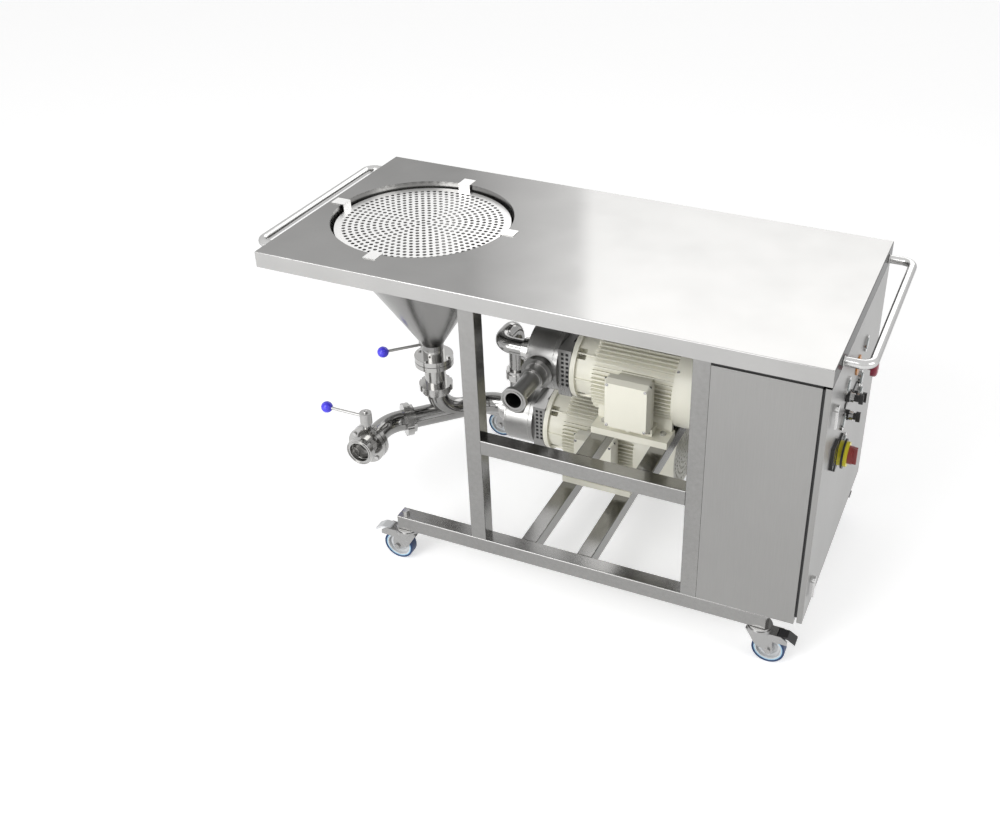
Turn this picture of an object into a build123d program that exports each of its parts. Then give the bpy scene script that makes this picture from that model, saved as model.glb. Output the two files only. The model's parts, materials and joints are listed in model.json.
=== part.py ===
from build123d import *
import os
from math import cos, radians, sin, sqrt

os.makedirs("parts", exist_ok=True)

# A wheeled table with a powder funnel, a pump and a high shear mixer.
# X runs along the table towards the cabinet, Y from front to back, Z up from the floor.
# The origin is on the floor under the middle of the table.

# Worktop pan and its funnel
table_length = 1700.0
table_depth = 800.0
table_height = 1033.0
skirt_depth = 50.0
sheet = 2.0
pan_edge_radius = 2.5
funnel_x = -522.0
funnel_radius = 280.0
funnel_outlet_z = 586.0
strainer_radius = 270.0
strainer_depth = 20.0
strainer_sheet = 2.0
strainer_hole_radius = 6.0
strainer_ring_pitch = 18.6
strainer_rings = 13
strap_width = 40.0
strap_reach = 45.0
strap_lap = 16.0

# Clearances
weld_gap = 0.1
seat_gap = 0.3
running_gap = 0.05

# Frame of square tube
tube = 50.0
tube_wall = 2.0
tube_corner = 3.0
rail_start = -461.0
rail_end = 746.0
post_left = -173.0
post_right = 509.0
mid_rail_top = 554.0
caster_height = 130.0

# Push handles
handle_radius = 13.0
handle_reach = 73.0
handle_front = -286.0
handle_back = 346.0
handle_z = 999.0
handle_bend = 32.0

# Pipework, large bore below the funnel and small bore between pump and mixer
pipe_radius = 35.0
pipe_bore = 33.0
pipe_bend = 105.0
branch_bend = 92.0
feed_radius = 26.5
feed_bore = 25.0
feed_bend = 48.0
run_angle = 45.0
outlet_x = -645.0
outlet_union_back = 108.0
funnel_union_z = 424.0
nut_length = 22.0
nut_radius = 56.0
nut_slot = 10.0
nut_slot_depth = 4.0
nut_slots = 6
collar_radius = 48.0
collar_length = 11.0
feed_nut_radius = 39.0
feed_collar_radius = 36.0

# Butterfly valves
funnel_valve_z = 526.0
outlet_valve_y = -244.0
valve_radius = 64.0
valve_half = 17.0
valve_groove = 2.0
valve_groove_radius = 58.0
valve_tail = 42.0
seat_radius = 44.0
seat_half = 5.0
disc_radius = 32.6
disc_thickness = 5.0
stem_radius = 6.0
valve_neck_radius = 13.0
valve_neck = 14.0
hub_radius = 19.5
hub_height = 40.0
lever_height = 103.0
lever_length = 145.0
lever_radius = 5.0
knob_radius = 19.0
knob_socket = 10.0
valve_bolt_circle = 53.0
valve_bolt_radius = 4.0
ferrule_radius = 46.0
ferrule_y = -303.0
ferrule_groove = 2.0
ferrule_bore = 34.0
ferrule_bore_length = 15.0

# Pump head and mixer head, both on the flange of a motor
head_radius = 104.0
head_wall = 10.0
head_length = 91.0
head_gap = 54.0
pump_flange_x = -146.0
pump_y = 134.0
mixer_flange_x = 38.0
mixer_y = -68.0
shaft_height = 132.0
discharge_offset = 77.0
discharge_rise = 50.0
feed_union_z = 500.0
inlet_stub = 25.0
mixer_outlet_radius = 28.0
mixer_outlet_y = -348.0
mixer_ferrule_radius = 39.5
mixer_ferrule_bore = 25.0
mixer_ferrule_length = 20.0
mixer_ferrule_rim = 13.0
outlet_collar_radius = 50.0
outlet_collar_y = -169.0
outlet_collar_length = 21.0
outlet_sleeve_radius = 36.0
outlet_sleeve_length = 56.0
lantern_plate = 10.0
lantern_radius = 50.0
lantern_wall = 8.0
guard_half = 88.0
guard_top = 80.0
guard_start = -43.0
guard_sheet = 2.0
guard_hole = 9.0
guard_pitch = 15.0
guard_rows = 8
guard_slot = 60.0

# Motors, both alike, measured from the flange
motor_flange_radius = 110.0
motor_flange = 16.0
shield_radius = 100.0
shield_end = 76.0
core_radius = 113.0
fin_radius = 128.0
fin_width = 3.0
fin_count = 60
body_end = 339.0
rim_length = 12.0
cowl_sheet = 2.0
cowl_end = 466.0
stator_radius = 66.0
motor_wall = 20.0
bolt_circle = 87.5
flange_bolt_radius = 6.0
bolt_pocket = 20.0
bolt_pocket_length = 26.0
foot_first = 121.0
foot_spacing = 186.0
foot_margin = 26.0
foot_half_spacing = 125.0
foot_half_width = 166.0
foot_inner = 92.0
foot_thickness = 22.0
foot_web = 14.0
foot_block = 46.0
foot_block_side = 150.0
box_start = 144.0
box_length = 140.0
box_height = 160.0
box_pad = 152.0
box_pad_inset = 20.0
box_base = 178.0
box_face = 197.0
box_corner = 12.0
gland_radius = 9.0
gland_length = 16.0
shaft_radius = 14.0
bearing_radius = 36.0
bearing_width = 18.0
rotor_radius = 62.0
fan_radius = 112.0
fan_width = 34.0
fan_blades = 7
grille_pitch = 18.0
grille_rings = 6
grille_hole = 4.5

# Impeller, mixer rotor and stator
impeller_radius = 80.0
impeller_plate = 6.0
impeller_back = 20.0
vane_depth = 36.0
vane_width = 4.0
vane_count = 6
hub_outer = 24.0
rotor_ring = 8.0
rotor_slots = 24
rotor_slot = 5.0
stator_gap = 0.5
stator_ring = 7.0

# Cabinet and door
cabinet_lid_gap = 8.0
cabinet_end = 825.0
cabinet_lip = 25.0
door_gap = 8.0
door_thickness = 16.0
door_back = 386.0
door_foot = 9.0
door_head = 6.0
hinge_radius = 6.0
hinge_pin = 3.0
hinge_length = 24.0
hinge_leaf = 4.0
hinge_heights = (300.0, 870.0)
gasket_foot = 25.0
gasket_inset = 4.0
gasket_width = 15.0

# Controls on the door, as places across and up the door
button_places = {"start_button": (66.0, 745.0), "stop_button": (92.0, 681.0)}
lamp_places = ((-158.0, 850.0), (97.0, 844.0), (-158.0, 732.0), (-92.0, 625.0))
selector_places = {"selector_1": (-137.0, 802.0), "selector_2": (-109.0, 725.0), "selector_3": (12.0, 716.0)}
selector_stands = {"selector_1": 46.0, "selector_2": 41.0, "selector_3": 36.0}
label_places = ((-20.0, 752.0), (-106.0, 774.0))
label_width = 84.0
label_height = 15.0
label_thickness = 3.0
stop_place = (0.0, 825.0)
isolator_place = (-172.0, 638.0)
display_place = (-254.0, 684.0)
latch_heights = {"latch_upper": 890.0, "latch_lower": 312.0}
latch_y = -342.0
dial_radius = 25.0
dial_thickness = 6.0
cap_radius = 17.0
cap_gap = 3.5
cap_length = 7.0
control_hole = 11.25
barrel_radius = 8.0
barrel_length = 38.0
bezel_radius = 15.0
selector_base = 10.0
bezel_length = 12.0
grip_radius = 10.0
grip_bar = 7.0
grip_bar_length = 12.0
mushroom_radius = 24.0
mushroom_length = 18.0
mushroom_stand = 39.0
stop_collar_radius = 30.0
stop_collar = 4.0
plate_half = 40.0
plate_thickness = 6.0
warning_radius = 36.0
warning_length = 11.0
ring_radius = 43.0
ring_length = 6.0
ring_hub = 28.0
isolator_front = 9.0
isolator_radius = 26.0
isolator_length = 24.0
display_width = 58.0
display_height = 68.0
display_thickness = 9.0
latch_boss = 11.0
latch_boss_length = 14.0
latch_arm = 62.0
latch_arm_width = 12.0
latch_arm_thickness = 7.0
latch_cam = 28.0

# Casters
wheel_radius = 50.0
wheel_width = 32.0
tyre_depth = 6.0
tyre_corner = 2.5
wheel_rim = 7.0
wheel_web = 9.0
wheel_boss = 7.0
caster_trail = 33.0
caster_inset = 20.0
axle_radius = 5.0
fork_plate = 3.0
fork_gap = 1.5
crown_radius = 38.0
crown_height = 14.0
raceway_height = 6.0
king_bolt_radius = 6.0
king_nut_length = 12.0
king_head = 5.0
king_nut_radius = 11.0
pedal_pivot = 62.0
pedal_reach = 49.0
pedal_width = 34.0
fork_notch_reach = 44.0
fork_notch_z = 85.0
fork_nose_reach = 88.0
fork_nose_z = 86.0
fork_nose_depth = 14.0
fork_heel_x = -5.0
fork_heel_z = 58.0
pedal_thickness = 7.0
pedal_eye = 6.0
pedal_pin = 3.0
pedal_drop = 2.0
pedal_slope = 15.0
brake_nose = 13.0

# Values that follow from the sizes above
axle_z = wheel_radius
fork_half = wheel_width / 2 + fork_gap + fork_plate
crown_bottom = caster_height - raceway_height - seat_gap - crown_height
pivot_z = crown_bottom - pedal_drop
rail_top = caster_height + tube
skirt_bottom = table_height - skirt_depth
frame_y = (table_depth - tube) / 2
pump_z = rail_top + shaft_height
mixer_z = mid_rail_top + shaft_height
run_x = cos(radians(run_angle))
run_y = sin(radians(run_angle))
door_face = table_length / 2 - 1
door_inner = cabinet_end + door_gap
corner_x = funnel_x + (pump_y / run_y) * run_x
head_back = -head_gap
head_front = -head_gap - head_length
pump_inlet_x = pump_flange_x + head_front
mixer_inlet_x = mixer_flange_x + head_front
feed_x = pump_flange_x + head_front + head_length / 2
feed_y = pump_y - discharge_offset
mixer_outlet_x = mixer_flange_x + head_front + head_length / 2
corners = [(-1, -1), (-1, 1), (1, -1), (1, 1)]
flange_bolts = [(across * bolt_circle / sqrt(2), up * bolt_circle / sqrt(2)) for across, up in corners]
foot_places = [foot_first, foot_first + foot_spacing]
foot_bolts = [(along, side * foot_half_spacing) for along in foot_places for side in (-1, 1)]
heads = {"pump": (pump_flange_x, pump_y, pump_z), "mixer": (mixer_flange_x, mixer_y, mixer_z)}
casters = {
    "front_left": (rail_start + caster_inset, -frame_y, -1),
    "rear_left": (rail_start + caster_inset, frame_y, -1),
    "front_right": (rail_end - caster_inset, -frame_y, 1),
    "rear_right": (rail_end - caster_inset, frame_y, 1),
}
king_bolts = [(caster_x, caster_y) for caster_x, caster_y, _ in casters.values()]


# Each helper below adds to the part that is being built, or cuts from it
def block(low, high, mode=Mode.ADD):
    """A box between two corners."""
    with BuildSketch(Plane.XY.offset(low[2])) as outline:
        with Locations(((low[0] + high[0]) / 2, (low[1] + high[1]) / 2)):
            Rectangle(high[0] - low[0], high[1] - low[1])
    extrude(outline.sketch, amount=high[2] - low[2], mode=mode)


def rod(start, direction, radius, length, bore=0.0, mode=Mode.ADD, spots=((0, 0),)):
    """A round bar or tube from a point along a direction, or one at each of several spots."""
    with BuildSketch(Plane(origin=start, z_dir=direction)) as outline:
        with Locations(*spots):
            Circle(radius)
            if bore > 0:
                Circle(bore, mode=Mode.SUBTRACT)
    extrude(outline.sketch, amount=length, mode=mode)


def hexagon(start, direction, radius, length, spots=((0, 0),)):
    """A bolt head or a nut, or one at each of several spots."""
    with BuildSketch(Plane(origin=start, z_dir=direction)) as outline:
        with Locations(*spots):
            RegularPolygon(radius, 6)
    extrude(outline.sketch, amount=length)


def square_tube(start, end, across, height=tube):
    """A square tube between two points, with its width along the direction across."""
    run = Vector(*end) - Vector(*start)
    with BuildSketch(Plane(origin=start, x_dir=across, z_dir=run)) as outline:
        RectangleRounded(tube, height, tube_corner)
        RectangleRounded(tube - 2 * tube_wall, height - 2 * tube_wall, tube_corner - tube_wall,
                         mode=Mode.SUBTRACT)
    extrude(outline.sketch, amount=run.length)


def tube_along(points, bend, radius, mode=Mode.ADD):
    """A round bar along straight runs joined by arcs."""
    with BuildLine() as route:
        FilletPolyline(*points, radius=bend)
    with BuildSketch(Plane(origin=points[0], z_dir=Vector(*points[1]) - Vector(*points[0]))) as section:
        Circle(radius)
    sweep(section.sketch, path=route.wires()[0], mode=mode)


def place(frame, x, y, z):
    """A point given in the frame of a valve or a union."""
    return frame.origin + frame.x_dir * x + frame.y_dir * y + frame.z_dir * z


# Worktop pan with a round hole for the funnel
collar_radius_outer = funnel_radius + sheet
with BuildPart() as worktop:
    with BuildSketch(Plane.XY.offset(skirt_bottom)):
        Rectangle(table_length, table_depth)
    extrude(amount=skirt_depth)
    pan_edges = worktop.edges().group_by(Axis.Z)[-1]
    fillet(pan_edges, radius=pan_edge_radius)
    with BuildSketch(Plane.XY.offset(skirt_bottom)):
        Rectangle(table_length - 2 * sheet, table_depth - 2 * sheet)
    extrude(amount=skirt_depth - sheet, mode=Mode.SUBTRACT)
    with BuildSketch(Plane.XY.offset(table_height - sheet)):
        with Locations((funnel_x, 0)):
            Circle(collar_radius_outer + weld_gap)
    extrude(amount=sheet, mode=Mode.SUBTRACT)

# Funnel: a straight collar, a cone and a short neck that ends at the valve, each its own shell
funnel_neck_z = funnel_valve_z + valve_tail
with BuildPart() as hopper:
    rod((funnel_x, 0, skirt_bottom), (0, 0, 1), collar_radius_outer, skirt_depth, bore=funnel_radius)
    rod((funnel_x, 0, funnel_neck_z), (0, 0, 1), pipe_radius, funnel_outlet_z - funnel_neck_z, bore=pipe_bore)
    with BuildSketch(Plane.XZ) as cone:
        with BuildLine():
            Polyline(
                (funnel_x + funnel_radius, skirt_bottom - weld_gap),
                (funnel_x + pipe_bore, funnel_outlet_z + weld_gap),
                (funnel_x + pipe_radius, funnel_outlet_z + weld_gap),
                (funnel_x + collar_radius_outer, skirt_bottom - weld_gap),
                close=True,
            )
        make_face()
    revolve(cone.sketch, axis=Axis((funnel_x, 0, 0), (0, 0, 1)))

# Strainer plate with rings of holes and four bent straps that hang it on the worktop
strainer_top = table_height - strainer_depth
strap_top = table_height + seat_gap + strainer_sheet
hole_turns = [(ring * strainer_ring_pitch, radians(60 * step / ring))
              for ring in range(1, strainer_rings + 1) for step in range(6 * ring)]
hole_places = [(reach * cos(turn), reach * sin(turn)) for reach, turn in hole_turns]
with BuildPart() as strainer:
    for quarter in range(4):
        turn = radians(90 * quarter)
        outward = (cos(turn), sin(turn), 0)
        sideways = (sin(turn), -cos(turn), 0)
        with BuildSketch(Plane(origin=(funnel_x, 0, 0), x_dir=outward, z_dir=sideways)):
            with BuildLine():
                Polyline(
                    (strainer_radius - strap_lap, strainer_top),
                    (strainer_radius, strainer_top),
                    (strainer_radius, strap_top),
                    (strainer_radius + strap_reach, strap_top),
                    (strainer_radius + strap_reach, strap_top - strainer_sheet),
                    (strainer_radius + strainer_sheet, strap_top - strainer_sheet),
                    (strainer_radius + strainer_sheet, strainer_top - strainer_sheet),
                    (strainer_radius - strap_lap, strainer_top - strainer_sheet),
                    close=True,
                )
            make_face()
        extrude(amount=strap_width / 2, both=True)
    with BuildSketch(Plane.XY.offset(strainer_top - strainer_sheet)):
        with Locations((funnel_x, 0)):
            Circle(strainer_radius)
            Circle(strainer_hole_radius, mode=Mode.SUBTRACT)
            with Locations(*hole_places):
                Circle(strainer_hole_radius, mode=Mode.SUBTRACT)
    extrude(amount=strainer_sheet, clean=False)

# Posts between the base rails and the worktop
with BuildPart() as frame_posts:
    for post_x in (post_left, post_right):
        for post_y in (-frame_y, frame_y):
            square_tube((post_x, post_y, rail_top), (post_x, post_y, skirt_bottom), (1, 0, 0))

# Base rails, their end plugs, mid rails, the cross rails below each motor and under the worktop
base_z = caster_height + tube / 2
mid_z = mid_rail_top - tube / 2
bearer_height = skirt_depth - sheet
inner_span = frame_y - tube / 2
plug = tube - 2 * tube_wall - 2 * weld_gap
with BuildPart() as frame_rails:
    for side in (-frame_y, frame_y):
        square_tube((rail_start, side, base_z), (rail_end, side, base_z), (0, 1, 0))
        square_tube((post_left + tube / 2, side, mid_z), (post_right - tube / 2, side, mid_z), (0, 1, 0))
        for plug_x in (rail_start, rail_end - tube_wall):
            block((plug_x, side - plug / 2, base_z - plug / 2),
                  (plug_x + tube_wall, side + plug / 2, base_z + plug / 2))
    for hole in foot_places:
        base_x = pump_flange_x + hole
        square_tube((base_x, -inner_span, base_z), (base_x, inner_span, base_z), (1, 0, 0))
        mid_x = mixer_flange_x + hole
        square_tube((mid_x, -inner_span, mid_z), (mid_x, inner_span, mid_z), (1, 0, 0))
    for post_x in (post_left, post_right):
        bearer_z = skirt_bottom + bearer_height / 2
        bearer_end = table_depth / 2 - sheet - weld_gap
        square_tube((post_x, -bearer_end, bearer_z), (post_x, bearer_end, bearer_z), (1, 0, 0), bearer_height)
    for motor, level in (("pump", base_z), ("mixer", mid_z)):
        rod((heads[motor][0], heads[motor][1], level), (0, 0, 1), flange_bolt_radius + seat_gap, tube,
            spots=foot_bolts, mode=Mode.SUBTRACT)
    rod((0, 0, caster_height), (0, 0, 1), king_bolt_radius + seat_gap, tube, spots=king_bolts,
        mode=Mode.SUBTRACT)

# Push handles on both ends of the worktop
with BuildPart() as handles:
    for end in (-1, 1):
        root = end * table_length / 2
        grip = end * (table_length / 2 + handle_reach)
        tube_along(
            ((root, handle_front, handle_z), (grip, handle_front, handle_z),
             (grip, handle_back, handle_z), (root, handle_back, handle_z)),
            handle_bend, handle_radius)

# Butterfly valves. In each valve frame Z is the pipe, X is the lever and Y is the stem.
funnel_valve = Plane(origin=(funnel_x, 0, funnel_valve_z), x_dir=(-run_x, -run_y, 0), z_dir=(0, 0, -1))
outlet_valve = Plane(origin=(outlet_x, outlet_valve_y, pump_z), x_dir=(-1, 0, 0), z_dir=(0, 1, 0))
neck_top = valve_radius + valve_neck


def valve_bolt_spots(frame):
    """The four bolt places between the stem and the lever, in the sketch plane across the pipe."""
    across = Plane(origin=frame.origin, z_dir=frame.z_dir)
    reach = valve_bolt_circle / sqrt(2)
    points = [across.to_local_coords(place(frame, x * reach, y * reach, 0)) for x, y in corners]
    return [(point.X, point.Y) for point in points]


def valve_body(frame, tail_before, tail_after):
    """The two halves of a valve, clamped round a seat, with weld ends."""
    rod(place(frame, 0, 0, -tail_before), frame.z_dir, pipe_radius, tail_before + tail_after)
    rod(place(frame, 0, 0, -valve_half), frame.z_dir, valve_radius, 2 * valve_half)
    rod(place(frame, 0, 0, -valve_groove / 2), frame.z_dir, valve_radius, valve_groove,
        bore=valve_groove_radius, mode=Mode.SUBTRACT)
    rod(frame.origin, frame.y_dir, valve_neck_radius, neck_top)
    rod(place(frame, 0, 0, -tail_before), frame.z_dir, pipe_bore, tail_before + tail_after,
        mode=Mode.SUBTRACT)
    rod(place(frame, 0, 0, -seat_half), frame.z_dir, seat_radius, 2 * seat_half, mode=Mode.SUBTRACT)
    rod(place(frame, 0, -seat_radius, 0), frame.y_dir, stem_radius + running_gap, seat_radius + neck_top,
        mode=Mode.SUBTRACT)
    rod(place(frame, 0, 0, -valve_half), frame.z_dir, valve_bolt_radius + seat_gap, 2 * valve_half,
        spots=valve_bolt_spots(frame), mode=Mode.SUBTRACT)


def valve_seat(frame):
    """The rubber ring that the disc closes against."""
    rod(place(frame, 0, 0, -seat_half), frame.z_dir, seat_radius, 2 * seat_half, bore=pipe_bore)
    rod(place(frame, 0, -seat_radius, 0), frame.y_dir, stem_radius + running_gap, 2 * seat_radius,
        mode=Mode.SUBTRACT)


def valve_bolts(frame):
    """Four bolts that clamp the halves."""
    head = 1.2 * valve_bolt_radius
    spots = valve_bolt_spots(frame)
    rod(place(frame, 0, 0, -valve_half), frame.z_dir, valve_bolt_radius, 2 * valve_half, spots=spots)
    for start in (valve_half, -valve_half - head):
        hexagon(place(frame, 0, 0, start), frame.z_dir, 1.7 * valve_bolt_radius, head, spots)


def valve_disc(frame):
    """The closing disc with its stem, the hub on top and the lever."""
    rod(place(frame, 0, 0, -disc_thickness / 2), frame.z_dir, disc_radius, disc_thickness)
    rod(place(frame, 0, -seat_radius + seat_gap, 0), frame.y_dir, stem_radius, seat_radius + neck_top)
    rod(place(frame, 0, neck_top + seat_gap, 0), frame.y_dir, hub_radius, hub_height)
    lever_end = lever_length - knob_radius + knob_socket - weld_gap
    rod(place(frame, 0, lever_height, 0), frame.x_dir, lever_radius, lever_end)


def valve_knob(frame):
    """The ball on the end of the lever."""
    centre = place(frame, lever_length, lever_height, 0)
    with BuildSketch(Plane(origin=centre, x_dir=frame.x_dir, z_dir=frame.z_dir)) as half_section:
        Circle(knob_radius)
        with Locations((knob_socket / 2 - knob_radius, 0)):
            Rectangle(knob_socket, 2 * (lever_radius + seat_gap), mode=Mode.SUBTRACT)
        with Locations((0, -knob_radius)):
            Rectangle(2 * knob_radius, 2 * knob_radius, mode=Mode.SUBTRACT)
    revolve(half_section.sketch, axis=Axis(centre, frame.x_dir))


with BuildPart() as hopper_valve_body:
    valve_body(funnel_valve, valve_tail, funnel_valve_z - funnel_union_z)

ferrule_tail = outlet_valve_y - ferrule_y
with BuildPart() as outlet_valve_body:
    valve_body(outlet_valve, ferrule_tail, valve_tail)
    rod((outlet_x, ferrule_y, pump_z), (0, 1, 0), ferrule_radius, ferrule_bore_length + 2 * sheet,
        bore=pipe_bore)
    rod((outlet_x, ferrule_y, pump_z), (0, 1, 0), ferrule_bore, ferrule_bore_length, mode=Mode.SUBTRACT)
    face_groove = (ferrule_radius + pipe_radius) / 2
    rod((outlet_x, ferrule_y, pump_z), (0, 1, 0), face_groove + ferrule_groove, ferrule_groove,
        bore=face_groove - ferrule_groove, mode=Mode.SUBTRACT)

with BuildPart() as hopper_valve_disc:
    valve_disc(funnel_valve)
with BuildPart() as outlet_valve_disc:
    valve_disc(outlet_valve)
with BuildPart() as hopper_valve_knob:
    valve_knob(funnel_valve)
with BuildPart() as outlet_valve_knob:
    valve_knob(outlet_valve)

# Suction pipe: a level run on the slant to the pump, joined by the branch from the funnel
outlet_union = (funnel_x - outlet_union_back * run_x, -outlet_union_back * run_y, pump_z)
pump_union_x = pump_inlet_x - inlet_stub
run_route = (outlet_union, (corner_x, pump_y, pump_z), (pump_union_x, pump_y, pump_z))
branch_reach = 1.2 * branch_bend
branch_route = (
    (funnel_x, 0, funnel_union_z),
    (funnel_x, 0, pump_z),
    (funnel_x + branch_reach * run_x, branch_reach * run_y, pump_z),
)
with BuildPart() as suction_pipe:
    tube_along(run_route, pipe_bend, pipe_radius)
    tube_along(branch_route, branch_bend, pipe_radius)
    tube_along(run_route, pipe_bend, pipe_bore, mode=Mode.SUBTRACT)
    tube_along(branch_route, branch_bend, pipe_bore, mode=Mode.SUBTRACT)

# Elbow between the suction pipe and the outlet valve
elbow_corner = (outlet_x, (outlet_x - funnel_x) / run_x * run_y, pump_z)
elbow_route = (outlet_union, elbow_corner, (outlet_x, outlet_valve_y + valve_tail, pump_z))
with BuildPart() as outlet_elbow:
    tube_along(elbow_route, pipe_bend, pipe_radius)
    tube_along(elbow_route, pipe_bend, pipe_bore, mode=Mode.SUBTRACT)

# Feed pipe from the pump up, forward and into the face of the mixer
mixer_union_x = mixer_inlet_x - inlet_stub
feed_route = (
    (feed_x, feed_y, feed_union_z),
    (feed_x, feed_y, mixer_z),
    (feed_x, mixer_y, mixer_z),
    (mixer_union_x, mixer_y, mixer_z),
)
with BuildPart() as feed_pipe:
    tube_along(feed_route, feed_bend, feed_radius)
    tube_along(feed_route, feed_bend, feed_bore, mode=Mode.SUBTRACT)


def union(centre, direction, pipe, nut, collar):
    """A slotted nut and the threaded collar beside it, round the joint of two pipes."""
    frame = Plane(origin=centre, z_dir=direction)
    rod(place(frame, 0, 0, -nut_length / 2), frame.z_dir, nut, nut_length, bore=pipe)
    with BuildSketch(Plane(origin=place(frame, 0, 0, -nut_length / 2), z_dir=direction)) as cuts:
        with PolarLocations(nut, nut_slots):
            Rectangle(2 * nut_slot_depth, nut_slot)
    extrude(cuts.sketch, amount=nut_length, mode=Mode.SUBTRACT)
    rod(place(frame, 0, 0, nut_length / 2 + seat_gap), frame.z_dir, collar, collar_length, bore=pipe)


with BuildPart() as union_nuts:
    union((funnel_x, 0, funnel_union_z), (0, 0, -1), pipe_radius, nut_radius, collar_radius)
    union(outlet_union, (run_x, run_y, 0), pipe_radius, nut_radius, collar_radius)
    union((pump_union_x, pump_y, pump_z), (-1, 0, 0), pipe_radius, nut_radius, collar_radius)
    union((feed_x, feed_y, feed_union_z), (0, 0, 1), feed_radius, feed_nut_radius, feed_collar_radius)
    union((mixer_union_x, mixer_y, mixer_z), (-1, 0, 0), feed_radius, feed_nut_radius, feed_collar_radius)


def head(name, inlet_radius, inlet_bore):
    """The round casing of a pump or mixer, open towards the motor, with its inlet stub."""
    x, y, z = heads[name]
    rod((x + head_front, y, z), (1, 0, 0), head_radius, head_length)
    rod((x + head_front - inlet_stub, y, z), (1, 0, 0), inlet_radius, inlet_stub)
    cavity = head_radius - head_wall
    rod((x + head_front + head_wall, y, z), (1, 0, 0), cavity, head_length - head_wall, mode=Mode.SUBTRACT)
    rod((x + head_front - inlet_stub, y, z), (1, 0, 0), inlet_bore, inlet_stub + head_wall,
        mode=Mode.SUBTRACT)


def head_cavity(name):
    """Clears the hollow of a casing again after a branch was added to it."""
    x, y, z = heads[name]
    rod((x + head_front + head_wall, y, z), (1, 0, 0), head_radius - head_wall, head_length - head_wall,
        mode=Mode.SUBTRACT)


with BuildPart() as pump_casing:
    head("pump", pipe_radius, pipe_bore)
    discharge_z = pump_z + discharge_rise
    rod((feed_x, feed_y, discharge_z), (0, 0, 1), feed_radius, feed_union_z - discharge_z)
    head_cavity("pump")
    rod((feed_x, feed_y, discharge_z + head_wall), (0, 0, 1), feed_bore,
        feed_union_z - discharge_z - head_wall,
        mode=Mode.SUBTRACT)

with BuildPart() as mixer_casing:
    head("mixer", feed_radius, feed_bore)
    rod((mixer_outlet_x, mixer_y, mixer_z), (0, -1, 0), mixer_outlet_radius, mixer_y - mixer_outlet_y)
    rod((mixer_outlet_x, mixer_outlet_y, mixer_z), (0, 1, 0), mixer_ferrule_radius, mixer_ferrule_rim)
    rod((mixer_outlet_x, outlet_collar_y, mixer_z), (0, -1, 0), outlet_collar_radius, outlet_collar_length)
    rod((mixer_outlet_x, outlet_collar_y, mixer_z), (0, -1, 0), outlet_sleeve_radius, outlet_sleeve_length)
    head_cavity("mixer")
    inner_end = mixer_outlet_y + mixer_ferrule_length
    rod((mixer_outlet_x, mixer_y, mixer_z), (0, -1, 0), mixer_outlet_radius - sheet, mixer_y - inner_end,
        mode=Mode.SUBTRACT)
    rod((mixer_outlet_x, mixer_outlet_y, mixer_z), (0, 1, 0), mixer_ferrule_bore, mixer_ferrule_length,
        mode=Mode.SUBTRACT)
    groove_radius = (mixer_ferrule_radius + mixer_ferrule_bore) / 2
    rod((mixer_outlet_x, mixer_outlet_y, mixer_z), (0, 1, 0), groove_radius + ferrule_groove, ferrule_groove,
        bore=groove_radius - ferrule_groove, mode=Mode.SUBTRACT)

# Lanterns that join each head to its motor: a round back plate, a barrel and a square plate
plate_y = guard_half - guard_sheet - seat_gap
plate_z = guard_top - guard_sheet - seat_gap
with BuildPart() as lanterns:
    for x, y, z in heads.values():
        rod((x + head_back, y, z), (1, 0, 0), head_radius, lantern_plate)
        rod((x + head_back, y, z), (1, 0, 0), lantern_radius, head_gap)
        block((x - lantern_plate, y - plate_y, z - plate_z), (x, y + plate_y, z + plate_z))
        rod((x + head_back, y, z), (1, 0, 0), shaft_radius + sheet, head_gap, mode=Mode.SUBTRACT)
        rod((x + head_back + lantern_plate, y, z), (1, 0, 0), lantern_radius - lantern_wall,
            head_gap - 2 * lantern_plate, mode=Mode.SUBTRACT)
        rod((x - lantern_plate, y, z), (1, 0, 0), flange_bolt_radius + seat_gap, lantern_plate,
            spots=flange_bolts, mode=Mode.SUBTRACT)
    rod((mixer_outlet_x, outlet_collar_y + weld_gap, mixer_z), (0, -1, 0), outlet_collar_radius + weld_gap,
        outlet_collar_length, mode=Mode.SUBTRACT)

# Sheet guards over the shafts, with a slotted top and perforated sides
with BuildPart() as shaft_guards:
    for x, y, z in heads.values():
        block((x + guard_start, y - guard_half, z - plate_z), (x - seat_gap, y + guard_half, z + guard_top))
        block((x + guard_start, y - guard_half + guard_sheet, z - plate_z),
              (x - seat_gap, y + guard_half - guard_sheet, z + guard_top - guard_sheet), mode=Mode.SUBTRACT)
        middle = x + (guard_start - seat_gap) / 2
        rows_middle = z + guard_top - guard_pitch - (guard_rows - 1) * guard_pitch / 2
        side_plane = Plane(origin=(middle, y + guard_half, rows_middle), x_dir=(1, 0, 0), z_dir=(0, -1, 0))
        with BuildSketch(side_plane) as perforation:
            with GridLocations(guard_pitch, guard_pitch, 2, guard_rows):
                Rectangle(guard_hole, guard_hole)
        extrude(perforation.sketch, amount=2 * guard_half, mode=Mode.SUBTRACT)
        slot_x = middle + guard_pitch / 2
        block((slot_x - guard_sheet, y - guard_slot / 2, z + guard_top - guard_sheet),
              (slot_x + guard_sheet, y + guard_slot / 2, z + guard_top), mode=Mode.SUBTRACT)

shield_hole = shaft_radius + sheet
bearing_places = [motor_wall - bearing_width / 2, body_end - motor_wall - bearing_width / 2]


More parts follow.
